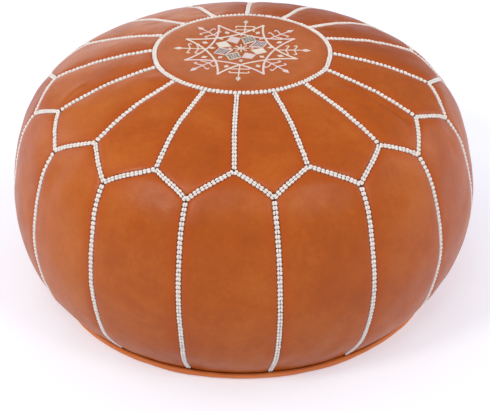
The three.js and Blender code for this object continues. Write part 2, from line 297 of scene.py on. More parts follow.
def simulate_bulge():
    """How far Cloth with pressure pushes the skin out between its pinned seams, on the cloth grid."""
    angle, s = cloth_grid()
    start = surface(angle, s)
    normal = surface_normal(angle, s)
    pins = seam_pins()
    rows, columns = pins.shape
    start = start + normal * (0.5 * ripple(start, [31, 43, 57, 26, 71], 11) * ~pins)[..., None]
    verts = np.vstack([start.reshape(-1, 3), [[0, 0, 285], [0, 0, 8]]]) * MM
    index = np.arange(rows * columns).reshape(rows, columns)
    right = np.roll(index, -1, axis=1)
    quads = np.stack([index[:-1], index[1:], right[1:], right[:-1]], -1).reshape(-1, 4).tolist()
    crown, foot = rows * columns, rows * columns + 1
    quads += [[crown, int(a), int(b)] for a, b in zip(index[0], right[0])]
    quads += [[foot, int(b), int(a)] for a, b in zip(index[-1], right[-1])]
    mesh = bpy.data.meshes.new("stuffing_cloth")
    mesh.from_pydata(verts.tolist(), [], quads)
    cloth = new_object("stuffing_cloth", mesh)
    group = cloth.vertex_groups.new(name="seams")
    held = [int(i) for i in np.flatnonzero(pins.ravel())] + [crown, foot]
    group.add(held, 1.0, "REPLACE")
    modifier = cloth.modifiers.new("stuffing", "CLOTH")
    settings = modifier.settings
    settings.quality = 6
    settings.mass = 0.3
    settings.tension_stiffness = 25
    settings.compression_stiffness = 25
    settings.shear_stiffness = 12
    settings.bending_stiffness = 1.5
    settings.vertex_group_mass = "seams"
    settings.use_pressure = True
    settings.uniform_pressure_force = 4
    settings.shrink_min = -0.006
    settings.effector_weights.gravity = 0
    modifier.point_cache.frame_start = 1
    modifier.point_cache.frame_end = 20
    scene = bpy.context.scene
    for step in range(1, 21):
        scene.frame_set(step)
    bpy.context.view_layer.objects.active = cloth
    bpy.ops.object.modifier_apply(modifier="stuffing")
    moved = np.zeros(len(cloth.data.vertices) * 3)
    cloth.data.vertices.foreach_get("co", moved)
    moved = moved.reshape(-1, 3)[:-2].reshape(rows, columns, 3) / MM
    bpy.data.objects.remove(cloth)
    scene.frame_set(1)
    push = ((moved - surface(angle, s)) * normal).sum(-1)
    return BULGE_LIMIT * np.tanh(push / BULGE_LIMIT) * ~pins


bulge = simulate_bulge()


def cubic_weights(t):
    """Weights of four neighbours for a smooth cubic B-spline."""
    return [
        (1 - t) ** 3 / 6,
        (3 * t**3 - 6 * t**2 + 4) / 6,
        (-3 * t**3 + 3 * t**2 + 3 * t + 1) / 6,
        t**3 / 6,
    ]


def sample_bulge(angle, s):
    rows, columns = bulge.shape
    row = np.clip(row_of(angle, s), 0, rows - 1.001)
    column = (np.asarray(angle) / (2 * math.pi) * columns) % columns
    i, j = np.floor(row).astype(int), np.floor(column).astype(int)
    total = np.zeros(np.broadcast(row, column).shape)
    for di, wi in zip((-1, 0, 1, 2), cubic_weights(row - i)):
        for dj, wj in zip((-1, 0, 1, 2), cubic_weights(column - j)):
            total += wi * wj * bulge[np.clip(i + di, 0, rows - 1), (j + dj) % columns]
    return total


# ---- folds and creases in the leather


def on_top(*points):
    """A route over a top panel, from (degrees, radius) points."""
    return [(math.radians(a), float(station_at_radius(r))) for a, r in points]


def on_side(*points):
    """A route over a side panel, from (degrees, height) points."""
    return [(math.radians(a), float(station_at_height(z))) for a, z in points]


# Each fold is a route, its depth and half width, and the height of the bulge beside it.
FOLDS = [
    (on_top((60.6, 128), (61.5, 151), (61.3, 167), (61.0, 180), (61.3, 192), (62.6, 211)), 4.6, 3.6, 3.4),
    (on_top((64.2, 160), (64.5, 178), (64.9, 196), (66.0, 208)), 1.0, 1.5, 0.3),
    (on_top((83.6, 172), (83.5, 188), (83.2, 200), (82.4, 210), (80.0, 219)), 0.8, 1.3, 0.4),
    (on_top((80.8, 184), (80.9, 199), (80.2, 208), (78.0, 217)), 0.7, 1.3, 0.3),
    (on_side((-6.1, 230), (-6.3, 218), (-6.0, 200)), 0.35, 1.6, 0.2),
    (on_side((-1.9, 226), (-2.2, 212), (-2.0, 198)), 0.3, 1.4, 0.15),
    (on_side((2.5, 228), (2.7, 214), (2.4, 196)), 0.35, 1.6, 0.15),
    (on_side((6.9, 230), (7.3, 214), (7.0, 202)), 0.3, 1.5, 0.2),
    (on_side((24.7, 222), (26.4, 210), (28.6, 194)), 0.5, 1.8, 0.3),
    (on_top((-30.5, 196), (-31.2, 206), (-33.0, 220)), 0.4, 1.5, 0.2),
    (on_top((128.0, 180), (126.4, 196), (124.6, 210)), 0.9, 2.0, 0.6),
    (on_side((140.0, 214), (141.2, 196), (141.0, 178)), 0.6, 2.2, 0.4),
    (on_top((201.0, 168), (203.2, 186), (204.4, 202)), 1.0, 2.2, 0.7),
    (on_side((236.0, 60), (237.2, 42), (237.0, 28)), 0.7, 2.4, 0.4),
    (on_side((62.0, 52), (63.4, 38), (63.6, 24)), 0.6, 2.2, 0.3),
    (on_side((-52.0, 56), (-53.0, 40), (-52.6, 26)), 0.6, 2.2, 0.3),
    (on_top((286.0, 176), (287.6, 190), (290.4, 207)), 0.7, 1.8, 0.5),
]


def crease_height(angle, s):
    """The folds' relief: a groove with a soft bulge on its clockwise side, fading at both ends."""
    total = np.zeros(np.shape(s))
    for route, depth, width, beside in FOLDS:
        route_angles, route_stations = np.array(route).T
        middle = (route_angles[0] + route_angles[-1]) / 2
        offset = (angle - middle + math.pi) % (2 * math.pi) - math.pi
        if np.abs(offset).min() > STEP:
            continue
        share = (s - route_stations[0]) / (route_stations[-1] - route_stations[0])
        line = np.interp(s, route_stations, route_angles)
        across = (offset - (line - middle)) * radius_at(s)
        fade = smoothstep((share + 0.12) / 0.4) * smoothstep((1.12 - share) / 0.4)
        groove = -depth * np.exp(-(across / width) ** 2)
        ridge = beside * np.exp(-((across + 2.6 * width) / (2.2 * width)) ** 2)
        total += fade * (groove + ridge)
    return total


def skin_height(angle, s):
    """Height of the leather above the plain outline, everywhere on the skin."""
    angle, s = np.broadcast_arrays(np.asarray(angle, float), np.asarray(s, float))
    points = surface(angle, s)
    height = 0.7 * ripple(points, [120, 150, 95, 180, 210, 133], 3)
    height *= smoothstep((END_STATION - s) / 40)
    height += np.where(s > RING_STATION, sample_bulge(angle, s), 0)
    pulled = np.ones_like(height)
    for kind, (distance, along) in enumerate(seam_distances(angle, s)):
        pulled *= 1 - np.exp(-(distance / VALLEY_WIDTH) ** 2)
        pucker = wobble(along, [9.8, 14.7, 24.5, 39], 20 + kind)
        height += 0.16 * pucker * np.exp(-distance / 9) * (1 - np.exp(-distance / 3))
    height -= VALLEY_DEPTH * (1 - pulled)
    return height + crease_height(angle, s)


# ---- meshes


def dress(name, mesh, material, replaces, body="pouf"):
    """A mesh as a smooth piece that rides on a body."""
    mesh.shade_smooth()
    mesh.materials.append(material)
    piece = new_object(name, mesh)
    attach(piece, body)
    if replaces:
        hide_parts(*replaces)
    return piece


def make_piece(name, verts, faces, material, replaces, weld=False, attributes=None):
    """A closed piece of the pouf from millimetre points, its faces turned outwards."""
    mesh = bpy.data.meshes.new(name)
    mesh.from_pydata((np.asarray(verts) * MM).tolist(), [], faces)
    for key, values in (attributes or {}).items():
        values = np.asarray(values, np.float32)
        vectors = values.ndim == 2
        layer = mesh.attributes.new(key, "FLOAT_VECTOR" if vectors else "FLOAT", "POINT")
        layer.data.foreach_set("vector" if vectors else "value", values.ravel())
    work = bmesh.new()
    work.from_mesh(mesh)
    if weld:
        bmesh.ops.remove_doubles(work, verts=work.verts, dist=1e-6)
        bmesh.ops.dissolve_degenerate(work, edges=work.edges, dist=1e-7)
        bare = [edge for edge in work.edges if not edge.link_faces]
        bmesh.ops.delete(work, geom=bare, context="EDGES")
    bmesh.ops.recalc_face_normals(work, faces=work.faces)
    work.to_mesh(mesh)
    work.free()
    return dress(name, mesh, material, replaces)


def grid_faces(rows, columns, around, start=0):
    """Quads of a grid of vertices that count along the columns first."""
    index = start + np.arange(rows * columns).reshape(rows, columns)
    if around:
        index = np.hstack([index, index[:, :1]])
    quads = np.stack([index[:-1, :-1], index[1:, :-1], index[1:, 1:], index[:-1, 1:]], -1)
    return quads.reshape(-1, 4).tolist()


def slab(outer, inner, around=False):
    """A closed sheet between two grids of points: (vertices, quads)."""
    rows, columns = outer.shape[:2]
    count = rows * columns
    verts = np.vstack([outer.reshape(-1, 3), inner.reshape(-1, 3)])
    index = np.arange(count).reshape(rows, columns)
    if around:
        borders = [np.append(line, line[0]) for line in (index[0], index[-1])]
    else:
        borders = [index[0], index[-1], index[:, 0], index[:, -1]]
    faces = grid_faces(rows, columns, around) + grid_faces(rows, columns, around, count)
    for line in borders:
        faces += np.stack([line[:-1], line[1:], line[1:] + count, line[:-1] + count], -1).tolist()
    return verts, faces


def loop_solid(grid):
    """A closed bar from a grid with one loop of points to each row: (vertices, faces)."""
    rows, points = grid.shape[:2]
    ends = [list(range(points)), list(range((rows - 1) * points, rows * points))]
    return grid.reshape(-1, 3), grid_faces(rows, points, around=True) + ends


def crowded(count):
    """0 to 1 in steps that get finer towards both ends."""
    x = np.linspace(0, 1, count)
    crowding = 0.72
    return (1 - crowding) * x + crowding * (0.5 - 0.5 * np.cos(math.pi * x))


# ---- materials


class Shader:
    """A material's node tree, with short calls for the nodes used here."""

    def __init__(self, name):
        self.material = bpy.data.materials.new(name)
        self.material.use_nodes = True
        self.tree = self.material.node_tree
        self.tree.nodes.clear()
        self.surface = self.node("ShaderNodeBsdfPrincipled")
        output = self.node("ShaderNodeOutputMaterial")
        self.link(self.surface.outputs[0], output.inputs["Surface"])
        self.place = self.node("ShaderNodeTexCoord").outputs["Object"]

    def node(self, kind, **settings):
        made = self.tree.nodes.new(kind)
        for key, value in settings.items():
            setattr(made, key, value)
        return made

    def link(self, output, target):
        self.tree.links.new(output, target)

    def feed(self, target, value):
        if isinstance(value, bpy.types.NodeSocket):
            self.link(value, target)
        else:
            target.default_value = value

    def texture(self, kind, **values):
        """A texture node laid out over the object."""
        made = self.node(kind)
        self.link(self.place, made.inputs["Vector"])
        for key, value in values.items():
            made.inputs[key].default_value = value
        return made

    def noise(self, scale, detail=3.0, roughness=0.5, distortion=0.0):
        return self.texture("ShaderNodeTexNoise", Scale=scale, Detail=detail, Roughness=roughness,
                            Distortion=distortion).outputs[0]

    def cells(self, scale):
        return self.texture("ShaderNodeTexVoronoi", Scale=scale).outputs["Distance"]

    def attribute(self, name, output="Fac"):
        return self.node("ShaderNodeAttribute", attribute_name=name).outputs[output]

    def remap(self, value, low, high, new_low=0.0, new_high=1.0):
        made = self.node("ShaderNodeMapRange")
        for key, number in (("Value", value), ("From Min", low), ("From Max", high),
                            ("To Min", new_low), ("To Max", new_high)):
            self.feed(made.inputs[key], number)
        return made.outputs[0]

    def maths(self, operation, first, second=0.0):
        made = self.node("ShaderNodeMath", operation=operation)
        self.feed(made.inputs[0], first)
        self.feed(made.inputs[1], second)
        return made.outputs[0]

    def total(self, *terms):
        """The sum of several values, each times its weight."""
        shares = [self.maths("MULTIPLY", value, weight) for value, weight in terms]
        whole = shares[0]
        for share in shares[1:]:
            whole = self.maths("ADD", whole, share)
        return whole

    def mix(self, share, first, second):
        made = self.node("ShaderNodeMix", data_type="RGBA")
        self.feed(made.inputs["Factor"], share)
        self.feed(made.inputs[6], first)
        self.feed(made.inputs[7], second)
        return made.outputs[2]

    def bump(self, height, distance, strength=1.0, below=None):
        made = self.node("ShaderNodeBump")
        made.inputs["Strength"].default_value = strength
        made.inputs["Distance"].default_value = distance
        self.link(height, made.inputs["Height"])
        if below is not None:
            self.link(below, made.inputs["Normal"])
        return made.outputs[0]

    def set(self, **values):
        for key, value in values.items():
            self.feed(self.surface.inputs[key.replace("_", " ")], value)
        return self.material


def colour(red, green, blue):
    """Linear colour from an sRGB one given as 0 to 255."""
    linear = [c / 12.92 if c <= 0.04045 else ((c + 0.055) / 1.055) ** 2.4
              for c in (red / 255, green / 255, blue / 255)]
    return (*linear, 1.0)


def leather(name, deep, middle, light, seam_dye_and_shade):
    """Vegetable-tanned leather: cloudy dye, a fine pebble, richer and darker colour beside the seams that
    is partly dye and partly painted shade, and painted shade under the braids.
    """
    shader = Shader(name)
    cloud = shader.noise(9, 4, 0.55, 0.6)
    patch = shader.noise(38, 5, 0.6, 0.4)
    mottle = shader.noise(190, 3, 0.6)
    tone = shader.total((cloud, 0.6), (patch, 0.22), (mottle, 0.18), (shader.attribute("tint"), 0.045))
    darker = shader.mix(shader.remap(tone, 0.28, 0.52), deep, middle)
    surface_colour = shader.mix(shader.remap(tone, 0.5, 0.76), darker, light)
    # Beside the seams the colour turns richer and darker: partly dye pooling, partly painted shade cast by
    # the braids.
    near = shader.remap(shader.attribute("seam"), 2.0, 15.0, 0.75, 0.0)
    surface_colour = shader.mix(near, surface_colour, seam_dye_and_shade)
    # Painted shade: dark brown in the groove under a braid, showing in the gaps between its lobes.
    groove = shader.remap(shader.attribute("seam"), 2.4, 4.0, 0.85, 0.0)
    surface_colour = shader.mix(groove, surface_colour, colour(74, 28, 10))
    pores = shader.remap(shader.cells(1500), 0.0, 0.35, 0.12, 0.0)
    surface_colour = shader.mix(pores, surface_colour, deep)
    pebble = shader.bump(shader.cells(1150), 0.00012, 0.5)
    soft = shader.bump(shader.noise(420, 4, 0.6), 0.00022, 0.6, pebble)
    creased = shader.bump(shader.noise(70, 4, 0.55, 0.8), 0.0009, 0.35, soft)
    roughness = shader.remap(shader.noise(55, 4, 0.6), 0.3, 0.7, 0.33, 0.43)
    return shader.set(Base_Color=surface_colour, Roughness=roughness, Normal=creased, Specular_IOR_Level=0.34)


def yarn(name, light, dark_tone_and_shade, twist, roughness=0.8, sheen=0.25):
    """Twisted thread: the ply winds round each strand, with painted shade in its furrows and small fibres.
    """
    shader = Shader(name)
    parts = shader.node("ShaderNodeSeparateXYZ")
    shader.link(shader.attribute("strand", "Vector"), parts.inputs[0])
    along = shader.maths("MULTIPLY", parts.outputs[0], twist)
    ply = shader.total((shader.maths("SINE", along), parts.outputs[1]),
                       (shader.maths("COSINE", along), parts.outputs[2]))
    fibre = shader.noise(2600, 3, 0.6)
    # Painted shade: the colour darkens towards the dark tone in the furrows of the twist.
    tone = shader.total((shader.remap(ply, -1.0, 1.0), 0.7), (fibre, 0.3))
    surface_colour = shader.mix(shader.remap(tone, 0.0, 0.55), dark_tone_and_shade, light)
    uneven = shader.remap(shader.noise(120, 3), 0.35, 0.7, 0.0, 0.25)
    surface_colour = shader.mix(uneven, surface_colour, dark_tone_and_shade)
    relief = shader.bump(ply, 0.00025, 0.7, shader.bump(fibre, 0.00008, 0.6))
    return shader.set(Base_Color=surface_colour, Roughness=roughness, Normal=relief, Sheen_Weight=sheen)


def woven(name, light, dark_tone_and_shade, threads):
    """Plain weave, with threads per metre set by the scale."""
    shader = Shader(name)
    waves = []
    for direction in ("X", "Y", "Z"):
        wave = shader.texture("ShaderNodeTexWave", Scale=threads, Distortion=0.6)
        wave.bands_direction = direction
        waves.append((wave.outputs["Fac"], 1.0))
    weave = shader.total(*waves)
    # Painted shade: the weave's low parts are darker, towards the dark tone; the noise adds random uneven
    # tone.
    tone = shader.total((weave, 0.25), (shader.noise(24, 4), 0.5))
    surface_colour = shader.mix(shader.remap(tone, 0.3, 0.9), dark_tone_and_shade, light)
    relief = shader.bump(weave, 0.0003, 0.7, shader.bump(shader.noise(900, 3), 0.0002, 0.5))
    return shader.set(Base_Color=surface_colour, Roughness=0.9, Normal=relief, Sheen_Weight=0.2)


def brass():
    shader = Shader("antique_brass")
    tarnish = shader.remap(shader.noise(260, 5, 0.6), 0.35, 0.7)
    surface_colour = shader.mix(tarnish, colour(214, 170, 92), colour(148, 104, 50))
    roughness = shader.remap(shader.noise(600, 4), 0.3, 0.7, 0.24, 0.46)
    scratches = shader.bump(shader.noise(1800, 3, 0.5, 2.0), 0.00006, 0.5)
    return shader.set(Base_Color=surface_colour, Metallic=1.0, Roughness=roughness, Normal=scratches)


def nylon():
    shader = Shader("coil_nylon")
    cloudy = shader.noise(700, 3)
    surface_colour = shader.mix(cloudy, colour(122, 78, 42), colour(96, 58, 30))
    relief = shader.bump(shader.noise(2400, 2), 0.00005, 0.4)
    return shader.set(Base_Color=surface_colour, Roughness=0.42, Normal=relief)


def wadding():
    """Tufts of white stuffing fibre, with painted shade in the hollows between tufts."""
    shader = Shader("wadding")
    tufts = shader.noise(85, 6, 0.65, 1.2)
    # Painted shade: the colour darkens where the tufts' bump is low.
    surface_colour = shader.mix(shader.remap(tufts, 0.35, 0.65), colour(222, 216, 204), colour(250, 248, 243))
    relief = shader.bump(tufts, 0.004, 0.8, shader.bump(shader.noise(900, 5, 0.7, 1.5), 0.0008, 0.7))
    return shader.set(Base_Color=surface_colour, Roughness=1.0, Normal=relief, Sheen_Weight=0.4)


# Each leather's fourth colour is its richer, darker tone beside the seams: partly dye, partly painted
# shade.
CROWN_LEATHER = leather("crown_leather", colour(168, 83, 26), colour(189, 102, 45), colour(204, 121, 69),
                        colour(186, 88, 24))
PANEL_LEATHER = leather("panel_leather", colour(161, 72, 8), colour(182, 88, 13), colour(199, 110, 35),
                        colour(184, 80, 6))
BASE_LEATHER_LOOK = leather("base_leather", colour(206, 108, 46), colour(222, 128, 66),
                            colour(232, 148, 94), colour(214, 114, 50))
# Each thread's second colour is its darker tone, also used as painted shade in the furrows of its twist.
BRAID_COTTON = yarn("braid_cotton", colour(255, 253, 247), colour(232, 222, 208), 3.6)
CREAM_SILK = yarn("cream_silk", colour(255, 250, 238), colour(240, 224, 204), 6.0, 0.45, 0.1)
# The rose silk is partly a second thread tone and partly a painted sheen, the pinkish sheen that pale silk
# shows from some directions.
ROSE_SILK_AND_SHEEN = yarn("rose_silk_and_sheen", colour(255, 242, 240), colour(240, 216, 212), 6.0, 0.45, 0.1)
UMBER_SILK = yarn("umber_silk", colour(96, 66, 56), colour(58, 38, 32), 6.0, 0.45, 0.1)
TAPE_COTTON = woven("zip_tape", colour(150, 96, 54), colour(106, 62, 32), 520)
CALICO = woven("bag_calico", colour(238, 229, 207), colour(206, 192, 164), 300)
COIL_NYLON = nylon()
BRASS = brass()
WADDING = wadding()

# ---- leather panels


def panel_piece(name, node, middle, across, start, stop, down, tint):
    """One leather panel, as a closed sheet between two stations, with a seam gap on both sides."""
    s = start + down * (stop - start)
    angle = middle + across * (STEP - 2 * SEAM_GAP / radius_at(s))
    height = skin_height(angle, s)
    verts, faces = slab(surface(angle, s, height), surface(angle, s, height - LEATHER))
    seam = np.tile(nearest_seam(angle, s).ravel(), 2)
    marks = {"seam": seam, "tint": np.full(len(verts), tint)}
    make_piece(name, verts, faces, PANEL_LEATHER, [node], attributes=marks)


def leather_panels():
    zigzag_gap = SEAM_GAP / ZIGZAG_COSINE
    for ring, seed, columns, rows in (("top", 5, 34, 46), ("side", 6, 44, 80)):
        random = np.random.default_rng(seed)
        across = crowded(columns)[None, :] - 0.5
        down = crowded(rows)[:, None]
        for k in range(PANELS):
            middle = (k + 0.5 if ring == "top" else k) * STEP
            zigzag = zigzag_station(middle + across * STEP)
            ends = (RING_STATION + SEAM_GAP, zigzag - zigzag_gap)
            if ring == "side":
                ends = (zigzag + zigzag_gap, END_STATION)
            number = f"{k + 1:02d}"
            panel_piece(f"{ring}_leather_{number}", f"{ring}_panel_{number}", middle, across, *ends, down,
                        random.uniform(-1, 1))


def medallion():
    """The round crown, as rings of points that close on one middle point."""
    angle = np.arange(200)[None, :] * (2 * math.pi / 200)
    out = np.linspace(0, 1, 60)[:, None]
    s = (RING_STATION - SEAM_GAP) * (1 - (1 - out) ** 1.15)
    angle, s = np.broadcast_arrays(angle, s)
    height = skin_height(angle, s)
    height[0] = height[0].mean()
    verts, faces = slab(surface(angle, s, height), surface(angle, s, height - LEATHER), around=True)
    marks = {"seam": np.tile(nearest_seam(angle, s).ravel(), 2), "tint": np.zeros(len(verts))}
    make_piece("medallion_leather", verts, faces, CROWN_LEATHER, ["top_medallion"],
               weld=True, attributes=marks)


# ---- stitches


BLUNT = 0.7                  # below 1, a strand's ends are blunter than a ball's
UNDERSIDE = 0.55             # how far a strand bulges below, for 1 above


def bean(rings, sides):
    """A plump closed strand along X with half length, half width and height 1: (points, faces, turn)."""
    latitude = -math.pi / 2 + math.pi * np.arange(1, rings + 1) / (rings + 1)
    turn = np.arange(sides) * (2 * math.pi / sides)
    x = np.repeat(np.sin(latitude), sides)
    reach = np.repeat(np.cos(latitude) ** BLUNT, sides)
    turn = np.tile(turn, rings)
    z = np.sin(turn) * np.where(np.sin(turn) < 0, UNDERSIDE, 1)
    points = np.stack([x, reach * np.cos(turn), reach * z], 1)
    points = np.vstack([points, [[-1, 0, 0], [1, 0, 0]]])
    faces = grid_faces(rings, sides, around=True)
    tail, tip = rings * sides, rings * sides + 1
    last = (rings - 1) * sides
    pairs = [(i, (i + 1) % sides) for i in range(sides)]
    faces += [[tail, b, a] for a, b in pairs]
    faces += [[tip, a + last, b + last] for a, b in pairs]
    return points, faces, np.concatenate([turn, [0, 0]])


PLUMP_BEAN = bean(5, 8)
FINE_BEAN = bean(3, 6)


def strands(shape, centre, along, up, half_length, half_width, height, bow=0.0):
    """Copies of a bean at many places: (vertices, faces, strand attribute)."""
    points, faces, turn = shape
    count, size = len(centre), len(points)
    side = np.cross(up, along)
    half_length, half_width, height, bow = (
        np.broadcast_to(value, count)[:, None] for value in (half_length, half_width, height, bow))
    x = points[:, 0] * half_length
    y = points[:, 1] * half_width + bow * (1 - points[:, 0] ** 2)
    z = points[:, 2] * height
    verts = centre[:, None].astype(float)
    for reach, direction in ((x, along), (y, side), (z, up)):
        verts = verts + reach[..., None] * direction[:, None]
    all_faces = []
    for offset in range(0, count * size, size):
        all_faces.extend([[i + offset for i in face] for face in faces])
    mark = np.stack([x.ravel(), np.tile(np.cos(turn), count), np.tile(np.sin(turn), count)], 1)
    return verts.reshape(-1, 3), all_faces, mark


def strand_piece(name, groups, material, replaces=()):
    """Several results of strands() as one piece."""
    faces, start = [], 0
    for group_verts, group_faces, _ in groups:
        faces.extend([[i + start for i in face] for face in group_faces])
        start += len(group_verts)
    verts = np.vstack([group[0] for group in groups])
    marks = np.vstack([group[2] for group in groups])
    make_piece(name, verts, faces, material, replaces, attributes={"strand": marks})


BRAID_PITCH = 4.9
LOBE_HALF_LENGTH = 2.35
LOBE_HALF_WIDTH = 1.5
LOBE_HEIGHT = 1.95
LOBE_OFFSET = 1.06
LOBE_BOW = 0.34
LOBE_TILT = math.radians(4)


def resample(angle, s, pitch):
    """Evenly spaced places along a route on the skin: (points, tangents, normals, spacing)."""
    route = surface(angle, s, skin_height(angle, s))
    length = np.concatenate([[0], np.cumsum(np.linalg.norm(np.diff(route, axis=0), axis=1))])
    cells = max(1, round(length[-1] / pitch))
    middles = (np.arange(cells) + 0.5) * length[-1] / cells
    here_angle = np.interp(middles, length, angle)
    here_s = np.interp(middles, length, s)
    points = surface(here_angle, here_s, skin_height(here_angle, here_s))
    behind, ahead = (np.stack([np.interp(middles + step, length, route[:, i]) for i in range(3)], 1)
                     for step in (-0.5, 0.5))
    tangent = unit(ahead - behind)
    normal = surface_normal(here_angle, here_s)
    normal = unit(normal - (normal * tangent).sum(1, keepdims=True) * tangent)
    return points, tangent, normal, length[-1] / cells


def braid(angle, s, seed, pitch=BRAID_PITCH, plait=0.0):
    """Pairs of plump lobes along a seam. plait tilts both lobes of a pair the same way."""
    random = np.random.default_rng(seed)
    points, tangent, normal, cell = resample(angle, s, pitch)
    count = len(points)
    side = np.cross(normal, tangent)
    groups = []
    for hand in (-1, 1):
        turn = hand * LOBE_TILT + plait + random.normal(0, math.radians(3), count)
        along = unit(np.cos(turn)[:, None] * tangent + np.sin(turn)[:, None] * side)
        shift = hand * LOBE_OFFSET + random.normal(0, 0.09, count)
        slide = random.normal(0, 0.12, count)
        lift = 0.55 + random.normal(0, 0.08, count)
        centre = points + shift[:, None] * side + slide[:, None] * tangent + lift[:, None] * normal
        length = cell / BRAID_PITCH * LOBE_HALF_LENGTH * random.uniform(0.94, 1.06, count)
        width = LOBE_HALF_WIDTH * random.uniform(0.92, 1.1, count)
        height = LOBE_HEIGHT * random.uniform(0.9, 1.1, count)
        groups.append(strands(PLUMP_BEAN, centre, along, normal, length, width, height, LOBE_BOW * hand))
    return groups


def braid_piece(name, groups, node):
    strand_piece(name, groups, BRAID_COTTON, [node])


def seam_braids():
    loop = np.linspace(0, 2 * math.pi, 721)
    ring = braid(loop, np.full_like(loop, RING_STATION), 40, 4.7, math.radians(24))
    braid_piece("ring_braid", ring, "top_seam_braid")
    for k in range(PANELS):
        stop = float(zigzag_station(k * STEP)) - 2.6
        s = np.linspace(RING_STATION + 3.2, stop, 160)
        groups = braid(np.full_like(s, k * STEP), s, 50 + k, BRAID_PITCH, math.radians(-6))
        braid_piece(f"top_braid_{k + 1:02d}", groups, "top_seam_braid")
    groups = []
    for edge in range(2 * PANELS):
        angle = np.linspace(edge, edge + 1, 60) * STEP / 2
        groups += braid(angle, zigzag_station(angle), 80 + edge, 4.55)
    braid_piece("zigzag_braid", groups, "side_seam_braid")
    for k in range(PANELS):
        angle = (k + 0.5) * STEP
        s = np.linspace(float(zigzag_station(angle)) + 2.6, END_STATION - 1.0, 260)
        groups = braid(np.full_like(s, angle), s, 120 + k)
        braid_piece(f"side_braid_{k + 1:02d}", groups, "side_seam_braid")


# ---- embroidery


def plan(radius, angle):
    """Plan point on the medallion, with the star's small turn."""
    return np.array([radius * math.sin(angle + STAR_TURN), -radius * math.cos(angle + STAR_TURN)])


def on_medallion(xy, lift):
    """Points on the leather under plan points, lifted, with normals."""
    r = np.hypot(xy[:, 0], xy[:, 1])
    angle = np.arctan2(xy[:, 0], -xy[:, 1])
    s = station_at_radius(r)
    height = skin_height(angle, s) + lift
    return surface(angle, s, height), surface_normal(angle, s)


def thread_row(starts, ends, half_width, height):
    """One straight strand from each start to its end, in plan."""
    starts, ends = np.asarray(starts, float), np.asarray(ends, float)
    centre, normal = on_medallion((starts + ends) / 2, 0.12)
    span = on_medallion(ends, 0.1)[0] - on_medallion(starts, 0.1)[0]
    half = np.linalg.norm(span, axis=1) / 2
    along = span / (2 * half[:, None])
    up = unit(normal - (normal * along).sum(1, keepdims=True) * along)
    return strands(FINE_BEAN, centre, along, up, half, half_width, height)


def chain(points, width, pitch, height=0.55):
    """Chain stitch along a plan line: two strands in a narrow V for each link."""
    points = np.asarray(points, float)
    length = np.concatenate([[0], np.cumsum(np.linalg.norm(np.diff(points, axis=0), axis=1))])
    links = max(1, round(length[-1] / pitch))
    marks = np.linspace(0, length[-1], links + 1)
    knots = np.stack([np.interp(marks, length, points[:, i]) for i in range(2)], 1)
    along = unit(np.diff(knots, axis=0))
    side = np.stack([-along[:, 1], along[:, 0]], 1)
    groups = []
    for hand in (-1, 1):
        start = knots[:-1] + side * hand * width * 0.14 - along * 0.2 * pitch
        end = knots[1:] + side * hand * width * 0.27 + along * 0.15 * pitch
        groups.append(thread_row(start, end, width * 0.3, height))
    return groups


def fill_polygon(corners, direction, pitch, half_width, height):
    """Satin stitch: parallel strands that fill a convex plan polygon, along a direction."""
    corners = np.asarray(corners, float)
    along = np.array([math.cos(direction), math.sin(direction)])
    side = np.array([-along[1], along[0]])
    across = corners @ side
    forward = corners @ along
    rows = np.arange(across.min() + pitch / 2, across.max(), pitch)
    starts, ends = [], []
    for level in rows:
        hits = []
        for i in range(len(corners)):
            j = (i + 1) % len(corners)
            low, high = across[i], across[j]
            if (low - level) * (high - level) < 0:
                hits.append(forward[i] + (forward[j] - forward[i]) * (level - low) / (high - low))
        if len(hits) == 2 and abs(hits[1] - hits[0]) > 0.5:
            starts.append(min(hits) * along + level * side)
            ends.append(max(hits) * along + level * side)
    return [thread_row(starts, ends, half_width, height)] if starts else []


def outward_direction(angle):
    """The direction outwards at an angle of the star, as an angle in plan from +X."""
    x, y = plan(1, angle)
    return math.atan2(y, x)


def diamond(radius, angle, half_radial, half_across, shift=0):
    """A satin-stitched rhombus with one diagonal along the radius."""
    centre = plan(radius, angle) + shift
    out = plan(1, angle)
    side = np.array([-out[1], out[0]])
    corners = [centre - out * half_radial, centre + side * half_across, centre + out * half_radial,
               centre - side * half_across]
    return fill_polygon(corners, outward_direction(angle), 0.62, 0.4, 0.6)


STAR_ARC = {"centre": 134.1, "radius": 98.6, "corner": 48.07}
STAR_SHIFT = np.array([-2.0, 0.5])
ROSETTE_SHIFT = np.array([-1.5, 5.0])
CHAIN_WIDTH = 2.7
FINE_LINE = 1.6
BRANCH_RADII = (50, 59.5)
BRANCH_REACH = 10.5


def star_side(middle):
    """Plan points of one curved side of the star's squares, from tip to tip, facing a middle direction."""
    centre = plan(STAR_ARC["centre"], middle)
    reach = math.asin(STAR_ARC["corner"] / STAR_ARC["radius"])
    turns = np.linspace(-reach, reach, 60)
    inward = -plan(1, middle)
    side = np.array([-inward[1], inward[0]])
    return centre + STAR_ARC["radius"] * (np.cos(turns)[:, None] * inward + np.sin(turns)[:, None] * side)


def star(square):
    groups = []
    for k in range(4):
        groups += chain(star_side((2 * k + square + 0.5) * EIGHTH) + STAR_SHIFT, CHAIN_WIDTH, 2.0)
    return groups


def petal(angle):
    """Corners of one petal of the rosette: a kite whose sides almost meet its neighbours."""
    half = math.radians(21.5)
    corners = [plan(10, angle), plan(24.5, angle + half), plan(33, angle), plan(24.5, angle - half)]
    return [corner + ROSETTE_SHIFT for corner in corners]


def satin(corners, angle):
    return fill_polygon(corners, outward_direction(angle), 0.75, 0.46, 0.6)


def lattice(corners, angle):
    """A hatch of crossed threads inside a double outline."""
    groups = []
    for turn in (math.radians(36), math.radians(-36)):
        groups += fill_polygon(corners, outward_direction(angle) + turn, 3.0, 0.36, 1.0)
    closed = np.array(corners + corners[:1])
    for a, b in zip(closed, closed[1:]):
        groups += chain([a, b], 1.0, 1.7, 0.8)
    return groups


